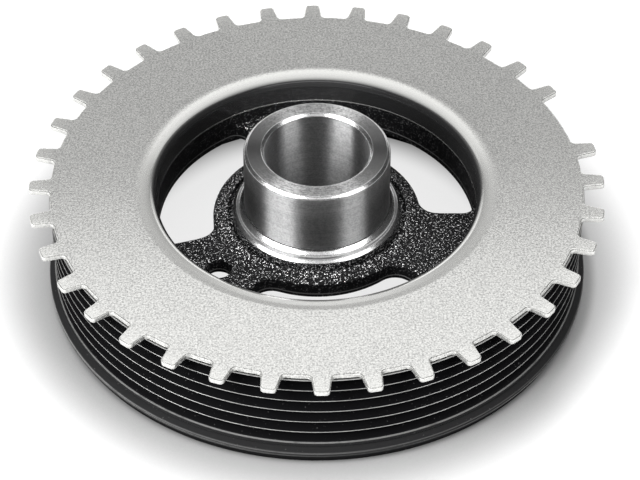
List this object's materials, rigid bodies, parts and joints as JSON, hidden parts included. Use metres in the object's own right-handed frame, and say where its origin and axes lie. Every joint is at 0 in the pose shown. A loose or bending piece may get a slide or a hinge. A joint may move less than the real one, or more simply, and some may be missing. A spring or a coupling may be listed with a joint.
{
  "type": "crankshaft harmonic balancer",
  "caption": "Round crankshaft damper: iron hub with a hollow nose and windowed web, rubber ring, grooved belt ring and a toothed sensor wheel.",
  "frame": {"origin": "on the crankshaft's axis, in the plane of the pulley's front face, which is the lowest one", "axes": "+Z along the crankshaft towards the engine, so the nose points up; the missing tooth lies 21.1 degrees from +X towards +Y"},
  "size_m": [0.145, 0.145, 0.0403],
  "materials": {
    "hub_iron": "black coated casting, machined bright on the nose, in the bore and on the collar",
    "elastomer": "plain moulded rubber",
    "ring_iron": "turned, then thinly coated black",
    "wheel_steel": "stamped sheet steel with a fine grain and a satin zinc finish"
  },
  "bodies": {
    "root": {"hub": "hub_iron", "elastomer_ring": "elastomer", "inertia_ring": "ring_iron", "trigger_wheel": "wheel_steel"}
  },
  "joints": []
}
